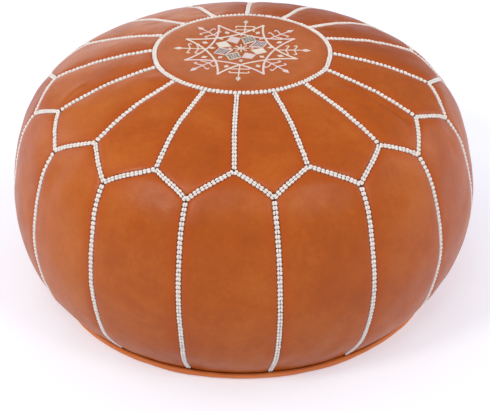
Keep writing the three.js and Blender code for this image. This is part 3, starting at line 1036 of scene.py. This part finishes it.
def arrow(angle, slant):
    """A stem with a leaf-shaped head and two pairs of hooked branches, outside the star's crossing."""
    out = plan(1, angle)
    side = np.array([-out[1], out[0]])
    groups = chain([plan(40.5, angle), plan(68, angle)], FINE_LINE, 1.9, 0.6)
    leaf = [plan(66.5, angle), plan(70, angle) + side * 2.3, plan(73.5, angle) + side * 2.7,
            plan(80, angle), plan(73.5, angle) - side * 2.7, plan(70, angle) - side * 2.3]
    groups += fill_polygon(leaf, outward_direction(angle), 0.6, 0.4, 0.7)
    for radius in BRANCH_RADII:
        for hand in (-1, 1):
            foot = plan(radius - 2 * slant, angle)
            elbow = foot + side * hand * BRANCH_REACH + out * BRANCH_REACH * slant
            hook = elbow + side * hand * 0.8 - out * 2.2
            tip = hook - side * hand * 1.4 - out * 1.6
            groups += chain([foot, elbow, hook, tip], FINE_LINE, 1.9, 0.6)
    return groups


def embroidery():
    cream, rose, umber = star(0), star(1), []
    for k in range(8):
        point = (k + 0.5) * EIGHTH
        cross = k * EIGHTH
        main = cream if k % 2 else rose
        if k in (2, 3, 6, 7):
            umber += satin(petal(point), point)
            main += lattice(petal(point), point)
        else:
            main += satin(petal(point), point)
        cream += diamond(33, cross, 4.6, 2.4, ROSETTE_SHIFT)
        cream += diamond(46, point, 4.8, 2.9)
        arrow_silk = rose if k % 2 else cream
        arrow_silk += arrow(cross - ARROW_LEAN, 0.0 if k % 4 == 0 else 0.35)
        ray = [plan(0.8, cross) + ROSETTE_SHIFT, plan(9, cross) + ROSETTE_SHIFT]
        cream += chain(ray, FINE_LINE, 1.9, 0.6)
    for east in (2, 6):
        cream += diamond(12.5, east * EIGHTH, 2.6, 1.6, ROSETTE_SHIFT)
    for tone, groups, silk in (("cream", cream, CREAM_SILK), ("rose", rose, ROSE_SILK_AND_SHEEN),
                               ("umber", umber, UMBER_SILK)):
        strand_piece("embroidery_" + tone, groups, silk, ["medallion_embroidery"])


# ---- base and zip


def base_columns():
    """Angles from the middle of a half, close together where the columns meet the zip's slot."""
    even = np.radians(np.arange(0, 90, 2.0))
    along = np.arctan(np.arange(6, SLOT["half_length"], 7) / SLOT["half_width"])
    corner = math.atan(SLOT["half_length"] / SLOT["half_width"])
    butt = np.linspace(corner, math.radians(89.94), 6)
    right = np.unique(np.round(np.concatenate([even, along, butt]), 5))
    return np.concatenate([-right[:0:-1], right])


def base_half(name, node, side):
    """Half of the base: flat leather from the slot to a soft rolled rim, a closed loop to each column."""
    turns = base_columns()
    corner = math.atan(SLOT["half_length"] / SLOT["half_width"])
    near = np.where(np.abs(turns) < corner, SLOT["half_width"] / np.cos(turns),
                    SLOT["half_length"] / np.maximum(np.abs(np.sin(turns)), 1e-6))
    flat = np.array([
        0, 0.003, 0.008, 0.018, 0.035, 0.055, 0.08, 0.12, 0.2, 0.32, 0.46, 0.6, 0.74, 0.86, 0.94, 1,
    ])
    flat_end = 221.5
    rim = np.array([
        [223.5, 0.3], [225, 0.9], [226.2, 0.5], [228, 0.05], [230.4, 0.0], [232.6, 0.5], [234.2, 1.7],
        [235, 3.4], [234.7, 5.2], [233.4, 6.5], [231.4, 7.0], [229.4, 6.7], [227.8, 5.4], [226.8, 3.4],
        [224.8, 2.5],
    ])
    world_angle = turns if side < 0 else math.pi - turns
    wave = wobble(world_angle * RIM_OUTER, [92, 61, 147, 246], 9)
    small = wobble(world_angle * RIM_OUTER, [31, 23, 44], 10)
    tuck = np.sin(world_angle) ** 2          # the stuffed sides lean over the rim, left and right
    r_flat = near[:, None] + (flat_end - near)[:, None] * flat
    y_flat = r_flat * np.cos(turns)[:, None]
    to_slot = np.where(np.abs(turns)[:, None] < corner, y_flat - SLOT["half_width"],
                       r_flat - near[:, None])
    under = 0.35 + 1.1 * np.exp(-(to_slot / 0.6)) + 0.12 * smoothstep(to_slot / 20)
    hem = 1 - smoothstep((to_slot - SLOT["hem"]) / 1.5)
    over = BASE_LEATHER + (SLOT["hem_top"] - BASE_LEATHER) * hem - 0.8 * np.exp(-(to_slot / 0.6))
    rim_r = rim[:, 0] + np.outer(0.6 * wave + 0.25 * small - 1.0 - 3.2 * tuck, (rim[:, 0] - 226) / 9)
    rim_z = rim[:, 1] * (0.95 - 0.12 * tuck + 0.07 * wave + 0.03 * small)[:, None]
    loop_r = np.hstack([r_flat, rim_r, r_flat[:, ::-1]])
    loop_z = np.hstack([under, np.clip(rim_z, 0, None), over[:, ::-1]])
    grid = round_points(loop_r, world_angle[:, None], loop_z)
    seam = np.full(loop_r.shape, 20.0)
    # Painted shade: marking the rim rows under the stitching as 3 mm from a seam makes the leather paint a
    # dark line of shade and the darker seam tone there.
    seam[:, len(flat):len(flat) + 3] = 3
    marks = {"seam": seam.ravel(), "tint": np.zeros(seam.size)}
    verts, faces = loop_solid(grid)
    make_piece(name, verts, faces, BASE_LEATHER_LOOK, [node], attributes=marks)


def base_stitching():
    """Backstitch beside the zip on the underside, and round the inside of the rim."""
    rows = []
    for side in (-1, 1):
        x = np.arange(-SLOT["half_length"] + 2, SLOT["half_length"] - 1, 4.0)[:, None]
        centre = x * [1, 0, 0] + [0, side * (SLOT["half_width"] + 5), 0.42]
        rows.append((centre, np.tile([1.0, 0.0, 0.0], (len(x), 1)), 0.38))
    radius = 225
    turns = np.arange(0, 2 * math.pi, 4.2 / radius)
    turns = turns[np.abs(np.cos(turns)) > 0.02]
    rows.append((round_points(radius, turns, 0.75), round_points(1.0, turns + math.pi / 2, 0.0), 0.4))
    groups = []
    for centre, along, height in rows:
        down = np.tile([0.0, 0.0, -1.0], (len(centre), 1))
        groups.append(strands(FINE_BEAN, centre, along, down, 1.6, 0.35, height))
    strand_piece("base_stitching", groups, BRAID_COTTON)


def box_mesh(low, high, bevel, segments=3):
    """A box between two corners, with rounded edges, as a bmesh in millimetres."""
    work = bmesh.new()
    bmesh.ops.create_cube(work, size=1)
    for vert in work.verts:
        vert.co = [(low[i] + high[i]) / 2 + vert.co[i] * (high[i] - low[i]) for i in range(3)]
    bmesh.ops.bevel(work, geom=list(work.edges), offset=bevel, segments=segments, profile=0.5,
                    affect="EDGES")
    return work


def prism_mesh(outline_points, bottom, top, bevel):
    """An upright prism with rounded edges, as a bmesh in millimetres."""
    work = bmesh.new()
    verts = [work.verts.new((x, y, bottom)) for x, y in outline_points]
    face = work.faces.new(verts)
    face.normal_update()
    if face.normal.z > 0:
        face.normal_flip()
    raised = bmesh.ops.extrude_face_region(work, geom=[face])
    bmesh.ops.translate(work, vec=(0, 0, top - bottom),
                        verts=[v for v in raised["geom"] if isinstance(v, bmesh.types.BMVert)])
    if bevel:
        edges = [e for e in work.edges if abs(e.verts[0].co.z - e.verts[1].co.z) < 1e-6]
        bmesh.ops.bevel(work, geom=edges, offset=bevel, segments=2, profile=0.5, affect="EDGES")
    return work


def rod_mesh(radius, half_width, height, bore=0.0):
    """A round bar along Y, or a tube where it has a bore, as a bmesh in millimetres."""
    sides = 32
    edge = 0.12
    section = [(radius - edge, -half_width), (radius, edge - half_width), (radius, half_width - edge),
               (radius - edge, half_width)]
    if bore:
        section += [(bore, half_width), (bore, -half_width), section[0]]
    work = bmesh.new()
    rings = []
    for r, y in section:
        turns = [i * 2 * math.pi / sides for i in range(sides)]
        rings.append([work.verts.new((r * math.cos(a), y, height + r * math.sin(a))) for a in turns])
    for first, second in zip(rings, rings[1:]):
        for i in range(sides):
            j = (i + 1) % sides
            work.faces.new((first[i], first[j], second[j], second[i]))
    if bore:
        bmesh.ops.remove_doubles(work, verts=work.verts, dist=1e-5)
    else:
        work.faces.new(rings[0])
        work.faces.new(rings[-1])
    return work


def metal_piece(name, parts, body, node, shift=0.0):
    """Several bmeshes as one hard piece of brass with smooth rounded edges."""
    whole = bmesh.new()
    for part in parts:
        bmesh.ops.recalc_face_normals(part, faces=part.faces)
        scratch = bpy.data.meshes.new("scratch")
        part.to_mesh(scratch)
        part.free()
        whole.from_mesh(scratch)
        bpy.data.meshes.remove(scratch)
    bmesh.ops.translate(whole, vec=(shift, 0, 0), verts=whole.verts)
    bmesh.ops.scale(whole, vec=(MM, MM, MM), verts=whole.verts)
    mesh = bpy.data.meshes.new(name)
    whole.to_mesh(mesh)
    whole.free()
    dress(name, mesh, BRASS, [node], body)
    mesh.set_sharp_from_angle(angle=math.radians(38))


def rounded_outline(half_length, half_width, nose, corner):
    """A slider's plan: a broad nose towards +X and a narrower tail."""
    tail = half_width * 0.82
    corners = [(-half_length, -tail), (half_length - nose, -half_width), (half_length, -half_width * 0.45),
               (half_length, half_width * 0.45), (half_length - nose, half_width), (-half_length, tail)]
    points = []
    for before, here, after in zip(corners[-1:] + corners, corners, corners[1:] + corners[:1]):
        here = np.array(here)
        start = here + corner * unit(np.array(before) - here)
        end = here + corner * unit(np.array(after) - here)
        for t in np.linspace(0, 1, 5):
            points.append(tuple((1 - t) ** 2 * start + 2 * t * (1 - t) * here + t**2 * end))
    return points


def zip_slider():
    low, high, plate = SLIDER["lower"], SLIDER["upper"], SLIDER["plate"]
    shape = rounded_outline(SLIDER["half_length"], SLIDER["half_width"], 2.4, 1.0)
    parts = [prism_mesh(shape, low, low + plate, 0.22), prism_mesh(shape, high, high + plate, 0.22)]
    wedge = [(2.5, -0.2), (5, -0.25), (5, 0.25), (2.5, 0.2)]
    parts.append(prism_mesh(wedge, low + plate - 0.1, high + 0.1, 0))
    wall = SLIDER["half_width"]
    for side in (-1, 1):
        y = sorted((side * (wall - 1.0), side * (wall - 0.35)))
        parts.append(box_mesh((-5.0, y[0], low + plate - 0.1), (2.6, y[1], low + plate + 0.55), 0.08, 2))
        parts.append(box_mesh((-5.0, y[0], high - 0.55), (2.6, y[1], high + 0.1), 0.08, 2))
        y = sorted((side * 1.8, side * 2.6))
        parts.append(box_mesh((-1.4, y[0], 0.8), (1.4, y[1], low + 0.3), 0.3))
    parts.append(rod_mesh(0.5, 2.2, PIN_HEIGHT))
    metal_piece("zip_slider_brass", parts, "slider", "zip_slider", SLIDER_X)


def round_end(length, half, count):
    """The half circle at a pull's far end, in plan."""
    turns = np.linspace(math.pi / 2, -math.pi / 2, count)
    return [(-length + half * (1 - math.cos(a)), half * math.sin(a)) for a in turns]


def zip_pull():
    """A flat tab with a rolled eye, a waist and a rounded end with a raised rim."""
    bottom = PIN_HEIGHT - PULL["eye"] + 0.1
    top = bottom + PULL["thickness"]
    half = PULL["half_width"]
    length = PULL["length"]
    neck = PULL["eye_half"] - 0.1
    shoulder = [(-0.9, neck), (-4.0, neck), (-5.6, half * 0.9), (-7.5, half)]
    tab = shoulder + round_end(length, half, 17) + [(x, -y) for x, y in reversed(shoulder)]
    parts = [prism_mesh(tab, bottom, top, 0.2)]
    border = 1.0
    inner = half - border
    raised = [(-8.5, inner)] + round_end(length - border, inner, 13) + [(-8.5, -inner)]
    parts.append(prism_mesh(raised, bottom - 0.18, bottom + 0.1, 0.1))
    parts.append(rod_mesh(PULL["eye"], PULL["eye_half"], PIN_HEIGHT, PULL["bore"]))
    metal_piece("zip_pull_brass", parts, "pull", "zip_pull", SLIDER_X)


def zip_coil(name, side):
    """One continuous nylon coil along the tape's edge, flattened where its turns lock."""
    pitch, steps, wire, sides = 1.6, 12, 0.24, 6
    turns = int((TEETH["end"] - TEETH["start"] - 1) / pitch)
    phase = np.linspace(0, turns * 2 * math.pi, turns * steps + 1)
    x = TEETH["start"] + 0.5 + phase / (2 * math.pi) * pitch
    half_y = (TEETH["outer"] - TEETH["inner"]) / 2 - wire
    half_z = (TEETH["top"] - TEETH["bottom"]) / 2 - wire
    soft = 0.8
    cosine, sine = np.cos(phase), np.sin(phase)
    y = side * ((TEETH["inner"] + TEETH["outer"]) / 2 + half_y * np.sign(cosine) * np.abs(cosine) ** soft)
    z = (TEETH["bottom"] + TEETH["top"]) / 2 + half_z * np.sign(sine) * np.abs(sine) ** soft
    path = np.stack([x, y, z], 1)
    tangent = unit(np.gradient(path, axis=0))
    first = unit(np.cross(tangent, [1.0, 0.0, 0.0]))
    second = np.cross(tangent, first)
    ring = np.arange(sides)[:, None] * (2 * math.pi / sides)
    section = np.cos(ring) * first[:, None] + np.sin(ring) * second[:, None]
    verts, faces = loop_solid(path[:, None] + wire * section)
    make_piece(f"zip_coil_{name}", verts, faces, COIL_NYLON, [f"zip_teeth_{name}"])


def zip_tape(name, side):
    """Woven tape with a corded inner edge and a gentle waver."""
    x = np.linspace(-TAPE["half_length"], TAPE["half_length"], 180)[:, None]
    share = np.array([0, 0.03, 0.08, 0.14, 0.2, 0.3, 0.45, 0.6, 0.75, 0.9, 0.97, 1])[None, :]
    y = TAPE["inner"] + (TAPE["outer"] - TAPE["inner"]) * share
    cord = 0.1 * np.exp(-((share - 0.11) / 0.06) ** 2)
    wave = 0.05 * wobble(x, [37, 23, 61], 30)
    top = TAPE["top"] - 0.12 + cord + wave
    bottom = TAPE["bottom"] + 0.12 - cord + wave
    xs, ys = np.broadcast_arrays(x, side * y)
    verts, faces = slab(np.stack([xs, ys, top], -1), np.stack([xs, ys, bottom], -1))
    make_piece(f"zip_tape_cloth_{name}", verts, faces, TAPE_COTTON, [f"zip_tape_{name}"])


def zip_stop(name, node, start, sides):
    """A clip clamped over the coils, from its start along X and between two places along Y."""
    clip = box_mesh((start, sides[0], TEETH["bottom"]), (start + STOP_LENGTH, sides[1], TEETH["top"]), 0.4)
    metal_piece(name, [clip], "pouf", node)


def zip_parts():
    inner, outer = TEETH["inner"], TEETH["outer"]
    for name, side in (("front", -1), ("back", 1)):
        zip_tape(name, side)
        zip_coil(name, side)
        zip_stop(f"zip_top_clip_{name}", f"zip_top_stop_{name}", TEETH["end"] + STOP_GAP,
                 sorted((side * inner, side * outer)))
    zip_stop("zip_bottom_clip", "zip_bottom_stop", TEETH["start"] - STOP_GAP - STOP_LENGTH, (-outer, outer))
    zip_slider()
    zip_pull()


# ---- bag and filling


def floor_rows(offset, bottom, corner, start):
    """Radius and height grids of a bag or filling: floor, corner, sides and crown, for each column."""
    up, across = 56, 14
    stations = np.linspace(END_STATION - 12, 0, up)
    side = surface(0.0, stations, -float(offset))
    radii, heights = -side[:, 1], side[:, 2]
    keep = heights > bottom + 5
    radii, heights = radii[keep], heights[keep]
    radii[-1] = 0
    share = np.linspace(0, 1, across)[:, None]
    flat = start + (corner - 5 - start) * share
    bend = np.repeat([[corner - 1.0], [corner + 1.5]], len(start), axis=1)
    r = np.vstack([flat, bend, np.repeat(radii[:, None], len(start), axis=1)])
    z = np.concatenate([np.full(across, float(bottom)), [bottom + 0.4, bottom + 2.0], heights])
    return r, np.broadcast_to(z[:, None], r.shape)


def filling_bag():
    """A calico bag with soft wrinkles, open along a slit over the zip."""
    columns = 144
    angle = np.arange(columns) * (2 * math.pi / columns)
    slit = np.minimum(BAG_SLIT["half_width"] / np.maximum(np.abs(np.cos(angle)), 1e-6),
                      BAG_SLIT["half_length"] / np.maximum(np.abs(np.sin(angle)), 1e-6))
    shells = []
    for depth, narrower in ((0, 0), (BAG_THICKNESS, 1)):
        r, z = floor_rows(BAG_OFFSET + depth, BAG_BOTTOM + depth, BAG_CORNER - narrower, slit)
        shells.append(round_points(r, angle, z))
    outer, inner = shells
    wrinkle = 0.35 * ripple(outer, [26, 33, 41, 19], 60) - 0.3
    wrinkle = wrinkle * (outer[..., 2] > BAG_BOTTOM + 3)
    crumple = unit(outer - FILLING_MIDDLE) * wrinkle[..., None]
    verts, faces = slab(outer + crumple, inner + crumple, around=True)
    make_piece("calico_bag", verts, faces, CALICO, ["filling_bag"], weld=True)


def filling():
    """Packed wadding, lumpy where it presses on the bag."""
    columns = 160
    angle = np.arange(columns) * (2 * math.pi / columns)
    r, z = floor_rows(FILLING_OFFSET, FILLING_BOTTOM, BAG_CORNER - 3, np.zeros(columns))
    grid = round_points(r, angle, z)
    lumps = 1.1 * np.clip(ripple(grid, [34, 47, 28, 61, 22], 70), -1.5, 0.4) - 0.6
    lumps = lumps * smoothstep((grid[..., 2] - FILLING_BOTTOM) / 12)
    grid = grid + unit(grid - FILLING_MIDDLE) * lumps[..., None]
    faces = grid_faces(len(grid), columns, around=True)
    piece = make_piece("wadding_filling", grid.reshape(-1, 3), faces, WADDING, ["filling"],
                       weld=True)


# ---- camera, floor and light: angles in degrees, lengths in metres

VIEW_AZIMUTH = 3.36
VIEW_ELEVATION = 31.9
VIEW_ROLL = -0.5
VIEW_DISTANCE = 1.652
VIEW_TARGET = Vector((0, 0, 0.09315))
LENS = 100.63                # millimetres
VIEW_SHIFT = (0.0031, -0.0204)
SOFTBOX_TONE = (1, 0.94, 0.84)
SOFTBOX_DISTANCE = 2.6
SOFTBOX_TARGET = Vector((0, 0, 0.15))
# Name, angle round from the front, angle above the floor, size and power in watts.
SOFTBOXES = [
    ("left", -44, 46, 0.6, 15),
    ("front", -6, 54, 0.7, 5),
    ("right", 45, 45, 0.7, 9),
    ("left_side", -108, 24, 1.5, 10),
    ("right_side", 108, 24, 1.5, 10),
    ("back", -160, 14, 1.6, 7.5),
]
FLOOR_HALF = 12


def outwards(turn, lift):
    """Unit vector from degrees round from the front and above the floor."""
    a, e = math.radians(turn), math.radians(lift)
    return Vector((math.sin(a) * math.cos(e), -math.cos(a) * math.cos(e), math.sin(e)))


def camera():
    data = bpy.data.cameras.new("camera")
    data.lens = LENS
    data.sensor_width = 36
    data.shift_x, data.shift_y = VIEW_SHIFT
    back = outwards(VIEW_AZIMUTH, VIEW_ELEVATION)
    eye = new_object("camera", data)
    eye.location = VIEW_TARGET + VIEW_DISTANCE * back
    eye.rotation_mode = "QUATERNION"
    roll = Matrix.Rotation(math.radians(VIEW_ROLL), 4, "Z").to_quaternion()
    eye.rotation_quaternion = (-back).to_track_quat("-Z", "Y") @ roll
    bpy.context.scene.camera = eye


def softbox(name, turn, lift, size, power):
    data = bpy.data.lights.new(name + "_softbox", "AREA")
    data.shape = "DISK"
    data.size = size
    data.energy = power
    data.color = SOFTBOX_TONE
    lamp = new_object(name + "_softbox", data)
    lamp.location = SOFTBOX_DISTANCE * outwards(turn, lift)
    lamp.rotation_mode = "QUATERNION"
    lamp.rotation_quaternion = (SOFTBOX_TARGET - lamp.location).to_track_quat("-Z", "Y")


def room_light():
    """A pale room that the leather's highlights reflect only weakly."""
    world = bpy.data.worlds.new("studio")
    world.use_nodes = True
    tree = world.node_tree
    background = tree.nodes["Background"]
    background.inputs["Color"].default_value = (0.95, 0.9, 1.0, 1.0)
    rays = tree.nodes.new("ShaderNodeLightPath")
    strength = tree.nodes.new("ShaderNodeMapRange")
    strength.inputs["To Min"].default_value = 0.62
    strength.inputs["To Max"].default_value = 0.2
    tree.links.new(rays.outputs["Is Glossy Ray"], strength.inputs["Value"])
    tree.links.new(strength.outputs[0], background.inputs["Strength"])
    bpy.context.scene.world = world


def studio_floor():
    """A pale floor; its glow on the object grows near it, behind it and to its sides."""
    shader = Shader("studio_floor")
    parts = shader.node("ShaderNodeSeparateXYZ")
    shader.link(shader.place, parts.inputs[0])
    seen = shader.node("ShaderNodeLightPath").outputs["Is Camera Ray"]
    white = shader.mix(seen, (0.56, 0.59, 0.62, 1), (0.78, 0.84, 0.87, 1))
    behind = shader.remap(parts.outputs[1], -0.6, 0.4, 0.03, 0.38)
    beside = shader.remap(shader.maths("ABSOLUTE", parts.outputs[0]), 0.1, 0.45, 0.0, 0.18)
    reach = shader.node("ShaderNodeVectorMath", operation="LENGTH")
    shader.link(shader.place, reach.inputs[0])
    near = shader.remap(reach.outputs["Value"], 0.28, 0.42, 0.17, 0.0)
    unseen = shader.maths("ADD", near, shader.maths("ADD", behind, beside))
    glow = shader.remap(seen, 0.0, 1.0, unseen, 0.34)
    look = shader.set(Base_Color=white, Roughness=0.9, Specular_IOR_Level=0.1,
                      Emission_Color=(0.84, 0.86, 1.0, 1), Emission_Strength=glow)
    corners = [(x * FLOOR_HALF, y * FLOOR_HALF, 0) for x, y in ((-1, -1), (1, -1), (1, 1), (-1, 1))]
    mesh = bpy.data.meshes.new("studio_floor")
    mesh.from_pydata(corners, [], [(0, 1, 2, 3)])
    mesh.materials.append(look)
    floor = new_object("studio_floor", mesh)
    floor.location.z = -0.0004


def studio():
    bpy.context.scene.view_settings.view_transform = "Standard"
    room_light()
    studio_floor()
    for row in SOFTBOXES:
        softbox(*row)


camera()
studio()
medallion()
leather_panels()
seam_braids()
embroidery()
base_half("base_leather_front", "base_panel_front", -1)
base_half("base_leather_back", "base_panel_back", 1)
base_stitching()
zip_parts()
filling_bag()
filling()
